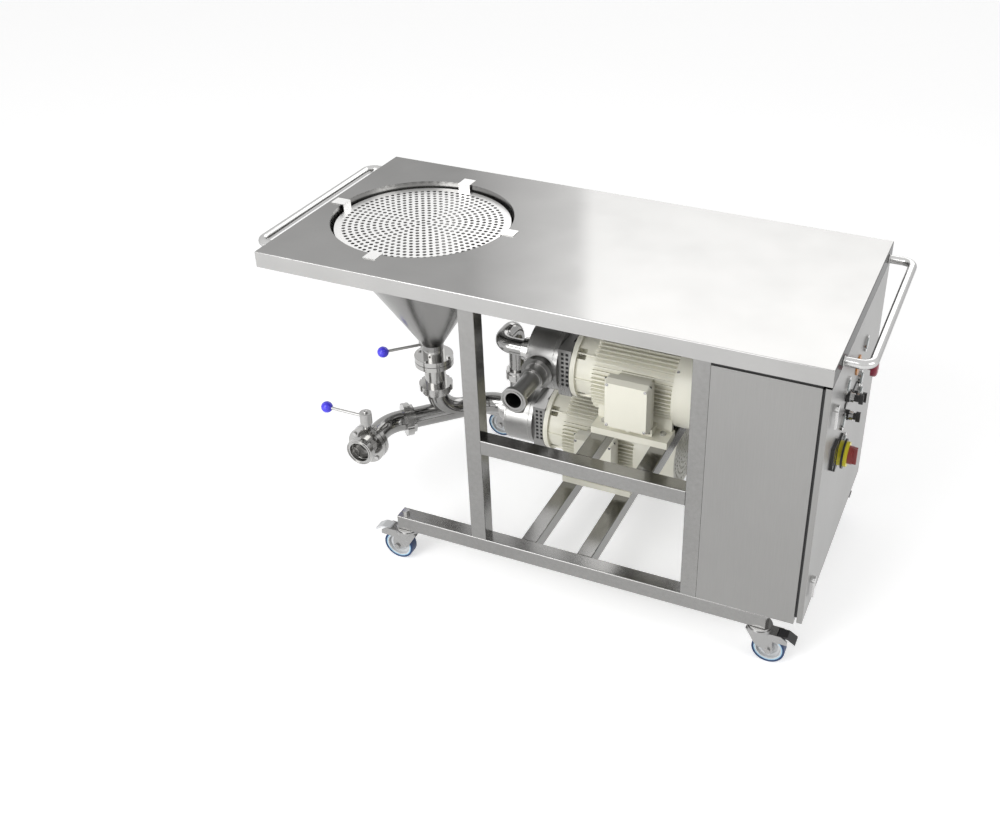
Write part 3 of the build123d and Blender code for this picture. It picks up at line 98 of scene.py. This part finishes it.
class Nodes:
    """Short calls for building one material's nodes."""

    def __init__(self, name):
        self.material = bpy.data.materials.new(name)
        self.material.use_nodes = True
        self.tree = self.material.node_tree
        self.shader = self.tree.nodes["Principled BSDF"]

    def new(self, kind, **settings):
        node = self.tree.nodes.new(kind)
        for key, value in settings.items():
            setattr(node, key, value)
        return node

    def link(self, source, target):
        self.tree.links.new(source, target)

    def place(self, scale=(1, 1, 1)):
        """The place on the part in metres, stretched."""
        coordinates = self.new("ShaderNodeTexCoord")
        mapping = self.new("ShaderNodeMapping")
        mapping.inputs["Scale"].default_value = scale
        self.link(coordinates.outputs["Object"], mapping.inputs["Vector"])
        return mapping.outputs["Vector"]

    def axis(self, name):
        """One coordinate of the place on the part, in metres."""
        parts = self.new("ShaderNodeSeparateXYZ")
        self.link(self.place(), parts.inputs["Vector"])
        return parts.outputs[name]

    def noise(self, vector, scale, detail=3.0, rough=0.55):
        node = self.new("ShaderNodeTexNoise")
        node.inputs["Scale"].default_value = scale
        node.inputs["Detail"].default_value = detail
        node.inputs["Roughness"].default_value = rough
        self.link(vector, node.inputs["Vector"])
        return node.outputs["Fac"]

    def remap(self, value, low, high, start=0.3, end=0.7):
        node = self.new("ShaderNodeMapRange")
        node.inputs["From Min"].default_value = start
        node.inputs["From Max"].default_value = end
        node.inputs["To Min"].default_value = low
        node.inputs["To Max"].default_value = high
        self.link(value, node.inputs["Value"])
        return node.outputs["Result"]

    def tint(self, value, low, high, start=0.35, end=0.65):
        """A colour that runs from low to high with a value."""
        node = self.new("ShaderNodeValToRGB")
        node.color_ramp.elements[0].position = start
        node.color_ramp.elements[0].color = (*low, 1)
        node.color_ramp.elements[1].position = end
        node.color_ramp.elements[1].color = (*high, 1)
        self.link(value, node.inputs["Fac"])
        return node.outputs["Color"]

    def relief(self, fine, both, rough, spread, strength):
        """Roughness that varies with the grain, and the relief of the fine grain."""
        self.link(self.remap(both, rough - spread, rough + spread), self.shader.inputs["Roughness"])
        self.bump(fine, strength, GRAIN_DEPTH)

    def mix(self, amount, first, second):
        """The first colour where the amount is 0, the second where it is 1."""
        node = self.new("ShaderNodeMix", data_type="RGBA")
        self.link(amount, node.inputs["Factor"])
        self.link(first, node.inputs["A"])
        self.link(second, node.inputs["B"])
        return node.outputs["Result"]

    def bump(self, value, strength, distance):
        node = self.new("ShaderNodeBump")
        node.inputs["Strength"].default_value = strength
        node.inputs["Distance"].default_value = distance
        self.link(value, node.inputs["Height"])
        self.link(node.outputs["Normal"], self.shader.inputs["Normal"])

    def math(self, operation, first, second=None):
        node = self.new("ShaderNodeMath", operation=operation)
        for socket, value in zip(node.inputs, (first, second)):
            if value is None:
                continue
            if isinstance(value, (int, float)):
                socket.default_value = value
            else:
                self.link(value, socket)
        return node.outputs["Value"]

    def grain(self, scale, fine_size, wide_size, share):
        """Fine skin, and fine skin and slow blotches added into one value round 0.5."""
        fine = self.noise(self.place(scale), fine_size, 4.0, 0.65)
        wide = self.noise(self.place(), wide_size, 4.0, 0.5)
        both = self.math("ADD", self.math("MULTIPLY", fine, share), self.math("MULTIPLY", wide, 1 - share))
        return fine, both

    def colour(self, value, colour, spread):
        """A colour that gets darker and lighter by a share of itself."""
        return self.tint(value, scaled(colour, 1 - spread), scaled(colour, 1 + spread))


def scaled(colour, factor):
    return tuple(min(1.0, part * factor) for part in colour)


def steel(name, grey, rough, stretch, strength=0.10, spread=0.05, blotch=0.05, warmth=0.02, edge=1.0):
    """Stainless steel with fine grinding lines, which stretch shortens or lengthens along each axis.
    edge is how bright it stays where it is seen edge-on."""
    n = Nodes(name)
    colour = (grey * (1 + warmth / 2), grey, grey * (1 - warmth))
    fine, both = n.grain(stretch, fine_size=260.0, wide_size=2.3, share=0.45)
    n.link(n.colour(both, colour, blotch), n.shader.inputs["Base Color"])
    n.shader.inputs["Metallic"].default_value = 1.0
    n.shader.inputs["Specular Tint"].default_value = (edge, edge, edge, 1)
    n.relief(fine, both, rough, spread, strength)
    return n.material


def moulded(name, colour, rough, strength=0.15):
    """Moulded plastic or rubber with a fine skin."""
    n = Nodes(name)
    fine, both = n.grain((1, 1, 1), fine_size=540.0, wide_size=6.0, share=0.3)
    n.link(n.colour(both, colour, 0.04), n.shader.inputs["Base Color"])
    n.relief(fine, both, rough, 0.06, strength)
    return n.material


def two_colours(name, first, second, choose, rough, strength=0.12):
    """A skin whose colour changes where choose(nodes), a value, goes from 0 to 1."""
    n = Nodes(name)
    fine, both = n.grain((1, 1, 1), fine_size=420.0, wide_size=6.0, share=0.3)
    n.link(n.mix(choose(n), n.colour(both, first, 0.04), n.colour(both, second, 0.04)), n.shader.inputs["Base Color"])
    n.relief(fine, both, rough, 0.06, strength)
    return n.material


def worktop_steel(name, colour, shaded_end_colour, rough, edge):
    """The worktop's bright sheet, with painted shade that darkens the two short faces of its skirt."""
    material = two_colours(name, colour, shaded_end_colour, at_shaded_ends, rough, strength=0.02)
    shader = material.node_tree.nodes["Principled BSDF"]
    shader.inputs["Metallic"].default_value = 1.0
    shader.inputs["Specular Tint"].default_value = (edge, edge, edge, 1)
    return material


def inside_hub(axle):
    """1 within the hub of the wheel that turns about an axle along Y."""
    def choose(n):
        across = n.math("SUBTRACT", n.axis("X"), axle.x)
        up = n.math("SUBTRACT", n.axis("Z"), axle.z)
        squares = n.math("ADD", n.math("MULTIPLY", across, across), n.math("MULTIPLY", up, up))
        return n.math("LESS_THAN", squares, HUB_RADIUS ** 2)
    return choose


def above(height):
    """1 above a height."""
    return lambda n: n.math("GREATER_THAN", n.axis("Z"), height)


def at_shaded_ends(n):
    """1 on the two short faces of the worktop's skirt, where shade is painted."""
    low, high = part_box("worktop")
    middle = (low.x + high.x) / 2
    reach = n.math("ABSOLUTE", n.math("SUBTRACT", n.axis("X"), middle))
    return n.math("GREATER_THAN", reach, high.x - middle - END_SKIN)


CREAM = (0.80, 0.785, 0.68)
TYRE = (0.002, 0.030, 0.115)
HUB = (0.62, 0.63, 0.64)
ORANGE = (0.62, 0.25, 0.05)
YELLOW = (0.80, 0.70, 0.02)
PALE_RING = (0.38, 0.62, 0.78)
TOP_STEEL = (0.395, 0.392, 0.386)
# Painted shade: the short faces of the worktop's skirt are the same steel as its top, given this darker colour
SHADED_END_STEEL = (0.170, 0.168, 0.165)
HUB_RADIUS = 0.0437
END_SKIN = 0.0006
# The warning plates of the isolator are below this height, the collar of the emergency stop is above it
PLATES_SPLIT = joints["isolator_turn"]["pos_m"][2] + 0.1
# The grain's scale along X, Y and Z: a small number makes long grinding lines that way
ROUND_X, LONG_Y, LONG_Z, ALL_WAYS = (0.6, 0.2, 0.2), (1.0, 0.06, 1.0), (1.0, 1.0, 0.04), (0.5, 0.5, 0.5)

pan = worktop_steel("pan_brushed", TOP_STEEL, SHADED_END_STEEL, rough=0.09, edge=0.42)
sheet = steel("sheet_brushed_up", 0.290, 0.32, LONG_Z, strength=0.04)
tube = steel("tube_steel", 0.272, 0.20, (0.3, 0.3, 0.3), blotch=0.09)
pipe = steel("pipe_polished", 0.28, 0.13, ALL_WAYS, strength=0.06, spread=0.04, blotch=0.10)
drum = steel("drum_satin", 0.29, 0.30, ROUND_X, strength=0.02, spread=0.04, blotch=0.06)
cone = steel("cone_satin", 0.255, 0.24, (1.0, 1.0, 0.06), strength=0.03, blotch=0.07)
bright = steel("bright_steel", 0.50, 0.12, ALL_WAYS, strength=0.05, spread=0.03, warmth=0.01)
grip = steel("grip_tube", 0.58, 0.18, LONG_Y, strength=0.03, spread=0.04, warmth=0.01, edge=0.6)
pale = steel("strainer_plate", 0.86, 0.34, ALL_WAYS, strength=0.05, blotch=0.03, warmth=0.01)
valve = steel("valve_steel", 0.42, 0.16, ALL_WAYS, strength=0.06, spread=0.04, blotch=0.06)
forged = steel("forged_steel", 0.40, 0.30, ALL_WAYS, strength=0.12, spread=0.06, blotch=0.10)
zinc = steel("zinc_plated", 0.36, 0.28, (1, 1, 1), strength=0.04, spread=0.06, blotch=0.08, warmth=0.01)
cream = moulded("cream_enamel", CREAM, 0.34, strength=0.20)
black = moulded("black_plastic", (0.012, 0.012, 0.012), 0.38)
rubber = moulded("black_rubber", (0.010, 0.010, 0.010), 0.62, strength=0.3)
dark_red = moulded("dark_red_plastic", (0.24, 0.012, 0.035), 0.30)
brown_red = moulded("isolator_red", (0.26, 0.030, 0.028), 0.34)
warning = two_colours("warning_yellow", YELLOW, ORANGE, above(PLATES_SPLIT), 0.32)
blue = moulded("blue_ball", (0.07, 0.055, 0.80), 0.22)
grey = moulded("grey_plastic", (0.52, 0.54, 0.55), 0.40)
lens = moulded("lamp_lens", (0.30, 0.33, 0.33), 0.16, strength=0.05)
pedal_grey = moulded("pedal_pale", (0.66, 0.67, 0.68), 0.42)
pedal_black = moulded("pedal_black", (0.018, 0.018, 0.019), 0.36)
ring_blue = moulded("hub_ring", PALE_RING, 0.35)
glass = moulded("display_glass", (0.020, 0.024, 0.028), 0.08, strength=0.02)

finishes = (
    (pan, ("worktop",)),
    (pale, ("strainer",)),
    (sheet, ("cabinet", "door")),
    (tube, ("frame_posts", "frame_rails")),
    (grip, ("handles",)),
    (cone, ("hopper",)),
    (drum, ("pump_casing", "mixer_casing", "lanterns", "shaft_guards")),
    (pipe, ("suction_pipe", "outlet_elbow", "feed_pipe")),
    (valve, ("union_nuts", "hopper_valve_body", "outlet_valve_body")),
    (bright, ("fasteners", "control_bezels", "latch_upper", "latch_lower")),
    (forged, ("hopper_valve_disc", "outlet_valve_disc", "pump_impeller", "mixer_rotor", "mixer_stator", "pump_shaft",
              "mixer_shaft", "bearings", "door_hinges")),
    (cream, ("pump_motor_housing", "mixer_motor_housing", "motor_covers")),
    (black, ("switch_plates", "selector_1", "selector_2", "selector_3")),
    (rubber, ("seals",)),
    (dark_red, ("emergency_stop",)),
    (brown_red, ("isolator_knob",)),
    (warning, ("warning_plates",)),
    (blue, ("hopper_valve_knob", "outlet_valve_knob")),
    (grey, ("control_gear",)),
    (lens, ("pilot_lamps", "start_button", "stop_button")),
    (pedal_grey, ("front_left_pedal", "rear_left_pedal")),
    (pedal_black, ("front_right_pedal", "rear_right_pedal")),
    (zinc, tuple(name + "_fork" for name in CASTERS)),
)


def dress(name, material):
    for place in nodes[name].material_slots:
        place.material = material


for material, names in finishes:
    for name in names:
        dress(name, material)
for name in CASTERS:
    axle = Vector(joints[name + "_roll"]["pos_m"])
    dress(name + "_wheel", two_colours(name + "_wheel_skin", TYRE, HUB, inside_hub(axle), 0.40))


# Pieces in mesh code
SHARP_ANGLE = math.radians(40)


def add_piece(name, shape, material, body):
    """Turns the working shape into a piece with clean normals that rides on a body."""
    bmesh.ops.recalc_face_normals(shape, faces=shape.faces)
    mesh = bpy.data.meshes.new(name)
    shape.to_mesh(mesh)
    shape.free()
    for face in mesh.polygons:
        face.use_smooth = True
    mesh.set_sharp_from_angle(angle=SHARP_ANGLE)
    mesh.materials.append(material)
    piece = bpy.data.objects.new(name, mesh)
    bpy.context.scene.collection.objects.link(piece)
    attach(piece, body)


def lathe_into(shape, centre, axis, profile, steps):
    """Turns a profile of (radius, distance along the axis) about an axis into a closed surface."""
    axis = axis.normalized()
    side = axis.orthogonal().normalized()
    other = axis.cross(side)
    turns = [math.tau * step / steps for step in range(steps)]
    rings = []
    for radius, along in profile:
        middle = centre + axis * along
        if radius:
            rings.append([shape.verts.new(middle + (side * math.cos(t) + other * math.sin(t)) * radius)
                          for t in turns])
        else:
            rings.append([shape.verts.new(middle)])
    for low, high in zip(rings, rings[1:]):
        for step in range(steps):
            after = (step + 1) % steps
            corners = [low[step % len(low)], low[after % len(low)], high[after % len(high)], high[step % len(high)]]
            kept = list(dict.fromkeys(corners))
            if len(kept) > 2:
                shape.faces.new(kept)


def ring_profile(inner, outer, thickness, edge):
    """The closed profile of a ring with broken edges."""
    return [(inner, 0), (outer - edge, 0), (outer, edge), (outer, thickness - edge), (outer - edge, thickness),
            (inner, thickness), (inner, 0)]


def bead_profile(radius, width):
    """A flattened half-round weld bead on a round surface."""
    arc_steps, flatness = 6, 0.7
    points = [(radius - width / 2, -width / 2)]
    for step in range(arc_steps + 1):
        angle = math.pi * step / arc_steps
        points.append((radius + width / 2 * math.sin(angle) * flatness, -width / 2 * math.cos(angle)))
    points += [(radius - width / 2, width / 2), points[0]]
    return points


def slab_into(shape, low, high, edge):
    """A box between two corners with bevelled edges."""
    low, high = Vector(low), Vector(high)
    made = bmesh.ops.create_cube(shape, size=1.0)
    for vert in made["verts"]:
        vert.co = Vector([(low[i] + high[i]) / 2 + vert.co[i] * (high[i] - low[i]) for i in range(3)])
    edges = list({edge_found for vert in made["verts"] for edge_found in vert.link_edges})
    bmesh.ops.bevel(shape, geom=edges, offset=edge, segments=3, profile=0.6, affect="EDGES")


def screw_into(shape, centre, axis, radius, height, socket=True):
    """A cheese-head screw, with a round socket or a slightly domed top."""
    rim = 0.18 * radius
    profile = [(radius, 0), (radius, height - rim), (radius - rim, height)]
    if socket:
        socket_radius, socket_floor = 0.45 * radius, 0.4 * height
        profile += [(0.52 * radius, height), (0.48 * radius, height - rim / 2), (socket_radius, socket_floor)]
        profile += [(0, socket_floor)]
    else:
        profile += [(0, height + rim / 2)]
    lathe_into(shape, centre, axis, profile, steps=24)


def motor_covers_detail():
    """Lid screws, lid gasket and cowl screws of both motors."""
    lid_screws_x, lid_screws_z, lid_face = (0.156, 0.272), (-0.068, 0.068), -0.1969
    lid_start, lid_end, lid_half = 0.1434, 0.2846, 0.0806
    gasket_front, gasket_back, gasket_edge = -0.1800, -0.1772, 0.0006
    cowl_screws_x, cowl_radius = 0.3345, 0.1301
    screws, gaskets = bmesh.new(), bmesh.new()
    for flange in (PUMP, MIXER):
        for along in lid_screws_x:
            for up in lid_screws_z:
                screw_into(screws, flange + Vector((along, lid_face, up)), FRONT, radius=0.0048, height=0.0026)
        slab_into(gaskets, flange + Vector((lid_start, gasket_front, -lid_half)),
                  flange + Vector((lid_end, gasket_back, lid_half)), gasket_edge)
        for turn in (45, 135, 225, 315):
            way = Vector((0, math.cos(math.radians(turn)), math.sin(math.radians(turn))))
            place = flange + RIGHT * cowl_screws_x + way * cowl_radius
            screw_into(screws, place, way, radius=0.0042, height=0.0022)
    add_piece("motor_cover_screws", screws, bright, "table")
    add_piece("motor_lid_gaskets", gaskets, rubber, "table")


def motor_shields_detail():
    """The dark line at the flange and the eight ribs on the end shield of both motors."""
    line_inner, line_outer, line_width = 0.1040, 0.1104, 0.0013
    rib_start, rib_end, rib_foot, rib_top, rib_half = 0.0150, 0.0700, 0.0985, 0.1048, 0.0022
    rib_count = 8
    lines, ribs = bmesh.new(), bmesh.new()
    for flange in (PUMP, MIXER):
        lathe_into(lines, flange - RIGHT * 0.0006, RIGHT, ring_profile(line_inner, line_outer, line_width, 0.0003),
                   steps=96)
        for turn in range(rib_count):
            count = len(ribs.verts)
            slab_into(ribs, (rib_start, rib_foot, -rib_half), (rib_end, rib_top, rib_half), 0.0012)
            ribs.verts.ensure_lookup_table()
            spin = Matrix.Translation(flange) @ Matrix.Rotation(math.tau * turn / rib_count, 4, "X")
            for vert in ribs.verts[count:]:
                vert.co = spin @ vert.co
    add_piece("motor_flange_lines", lines, rubber, "table")
    add_piece("motor_shield_ribs", ribs, cream, "table")


def guard_shade_sheets():
    """Black sheets behind the perforated sides of the shaft guards: painted shade, so that the holes read as black.
    """
    inner, outer = 0.0832, 0.0850
    start, end, bottom, top = -0.0400, -0.0030, -0.0560, 0.0740
    shade_sheets = bmesh.new()
    for head in (PUMP, MIXER):
        for side in (-1, 1):
            near, far = sorted((side * inner, side * outer))
            slab_into(shade_sheets, head + Vector((start, near, bottom)), head + Vector((end, far, top)), 0.0004)
    add_piece("guard_shade_sheets", shade_sheets, rubber, "table")


def weld_beads():
    """Beads along the mixer's outlet pipe, at both ends of the drums and at the roots of the handles."""
    outlet = Vector((MIXER.x - 0.0995, MIXER.y, MIXER.z))
    outlet_beads = ((0.036, 0.1225), (0.028, 0.1575), (0.028, 0.2660))
    drum_radius, drum_beads_x = 0.104, (-0.1405, -0.0585)
    grip_radius, grip_roots_y, grip_z = 0.013, (-0.286, 0.346), 0.999
    beads = bmesh.new()
    for radius, along in outlet_beads:
        lathe_into(beads, outlet + FRONT * along, FRONT, bead_profile(radius, 0.0032), steps=64)
    for head in (PUMP, MIXER):
        for along in drum_beads_x:
            lathe_into(beads, head + RIGHT * along, RIGHT, bead_profile(drum_radius, 0.0024), steps=96)
    skirt_low, skirt_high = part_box("worktop")
    for side, face in ((-1, skirt_low.x), (1, skirt_high.x)):
        for y in grip_roots_y:
            root = Vector((face + side * 0.0012, y, grip_z))
            lathe_into(beads, root, RIGHT * side, bead_profile(grip_radius, 0.0044), steps=48)
    add_piece("weld_beads", beads, forged, "table")


def valve_cap_screws():
    """The set screw on the stem end of each valve, which turns with the lever."""
    hub_end = 0.1181
    for joint_name, way in (("hopper_valve_turn", -1), ("outlet_valve_turn", 1)):
        joint = joints[joint_name]
        stem = way * Vector(joint["axis"]).normalized()
        shape = bmesh.new()
        screw_into(shape, Vector(joint["pos_m"]) + stem * hub_end, stem, radius=0.0082, height=0.0050)
        add_piece(joint["child"] + "_cap_screw", shape, bright, joint["child"])


def caster_details():
    """Raised rings on the hub of each wheel and the pale ring at the foot of its tyre."""
    web_half, rim_inset = 0.0045, 0.0026
    inner_ring = ring_profile(0.0245, 0.0270, 0.0016, 0.0004)
    outer_ring = ring_profile(0.0335, 0.0352, 0.0012, 0.0003)
    rim_ring = ring_profile(0.0405, 0.0435, 0.0009, 0.0003)
    for name in CASTERS:
        axle = Vector(joints[name + "_roll"]["pos_m"])
        low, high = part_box(name + "_wheel")
        rim_half = (high.y - low.y) / 2 - rim_inset
        rings, rims = bmesh.new(), bmesh.new()
        for side in (-1, 1):
            way = Vector((0, side, 0))
            lathe_into(rings, axle + way * web_half, way, inner_ring, steps=64)
            lathe_into(rings, axle + way * web_half, way, outer_ring, steps=64)
            lathe_into(rims, axle + way * rim_half, way, rim_ring, steps=96)
        add_piece(name + "_hub_rings", rings, grey, name + "_wheel")
        add_piece(name + "_rim_rings", rims, ring_blue, name + "_wheel")


def door_details():
    """The glass of the display and the rivets of the label bars."""
    display_y, display_z, display_face = -0.254, 0.684, DOOR_FACE + 0.0075
    glass_width, glass_height, glass_thickness = 0.0235, 0.0285, 0.0012
    bars, rivet_reach, bar_face = ((-0.020, 0.752), (-0.106, 0.774)), 0.037, DOOR_FACE + 0.0029
    pane, rivets = bmesh.new(), bmesh.new()
    slab_into(pane, (display_face, display_y - glass_width, display_z - glass_height),
              (display_face + glass_thickness, display_y + glass_width, display_z + glass_height), 0.0004)
    for y, z in bars:
        for side in (-rivet_reach, rivet_reach):
            screw_into(rivets, Vector((bar_face, y + side, z)), RIGHT, radius=0.0022, height=0.0010, socket=False)
    add_piece("display_glass", pane, glass, "door")
    add_piece("label_rivets", rivets, bright, "door")


motor_covers_detail()
motor_shields_detail()
guard_shade_sheets()
weld_beads()
valve_cap_screws()
caster_details()
door_details()


# Floor, world, card and lamps
def make_world():
    """A plain white surround, weaker as light than as the background that the camera and reflections see."""
    world = bpy.data.worlds.new("studio")
    bpy.context.scene.world = world
    world.use_nodes = True
    tree = world.node_tree
    background = tree.nodes["Background"]
    strength = tree.nodes.new("ShaderNodeMapRange")
    strength.inputs["To Min"].default_value = 0.50
    strength.inputs["To Max"].default_value = 1.0
    tree.links.new(seen_ray(tree), strength.inputs["Value"])
    tree.links.new(strength.outputs["Result"], background.inputs["Strength"])
    background.inputs["Color"].default_value = (1, 1, 1, 1)


def area_light(name, place, target, size, power):
    data = bpy.data.lights.new(name, "AREA")
    data.shape = "RECTANGLE"
    data.size, data.size_y = size
    data.energy = power
    light = bpy.data.objects.new(name, data)
    light.location = place
    light.rotation_euler = (Vector(target) - Vector(place)).to_track_quat("-Z", "Y").to_euler()
    bpy.context.scene.collection.objects.link(light)


def staged_plane(name, corners, material):
    mesh = bpy.data.meshes.new(name)
    mesh.from_pydata(corners, [], [(0, 1, 2, 3)])
    mesh.materials.append(material)
    plane = bpy.data.objects.new(name, mesh)
    bpy.context.scene.collection.objects.link(plane)
    return plane


def make_floor():
    """A white floor that shows the object's shadow and stays pure white round it."""
    half, glow = 9, 0.46
    n = Nodes("floor_white")
    n.shader.inputs["Base Color"].default_value = (0.88, 0.88, 0.88, 1)
    n.shader.inputs["Roughness"].default_value = 0.9
    n.shader.inputs["Emission Color"].default_value = (1, 1, 1, 1)
    n.link(n.math("MULTIPLY", seen_ray(n.tree), glow), n.shader.inputs["Emission Strength"])
    staged_plane("floor", [(-half, -half, 0), (half, -half, 0), (half, half, 0), (-half, half, 0)], n.material)


def make_card():
    """A card behind the table that only reflections see: it gives the worktop its sheen, brighter to the right."""
    left, right, bottom, top, back = -3.1, 2.2, 2.3, 6.0, 5
    slope_end, step_end = -2.15, -2.0
    n = Nodes("card_glow")
    n.shader.inputs["Base Color"].default_value = (0, 0, 0, 1)
    slope = n.remap(n.axis("X"), 1.0, 1.85, left, slope_end)
    step = n.remap(n.axis("X"), 0.0, 0.85, slope_end, step_end)
    n.shader.inputs["Emission Color"].default_value = (1, 1, 1, 1)
    n.link(n.math("ADD", slope, step), n.shader.inputs["Emission Strength"])
    corners = [(left, back, bottom), (right, back, bottom), (right, back, top), (left, back, top)]
    card = staged_plane("card", corners, n.material)
    for ray in ("camera", "diffuse", "transmission", "volume_scatter", "shadow"):
        setattr(card, "visible_" + ray, False)


make_world()
make_floor()
make_card()
area_light("key", place=(-1.5, -4.5, 4.0), target=(0, 0, 0.6), size=(3.0, 3.0), power=130)
area_light("right", place=(5.0, -1.0, 3.0), target=(0, 0, 0.6), size=(2.5, 2.5), power=52)
area_light("low", place=(-2.2, -4.5, 0.9), target=(0, 0, 0.4), size=(2.5, 1.2), power=66)

bpy.context.scene.view_settings.view_transform = "Standard"
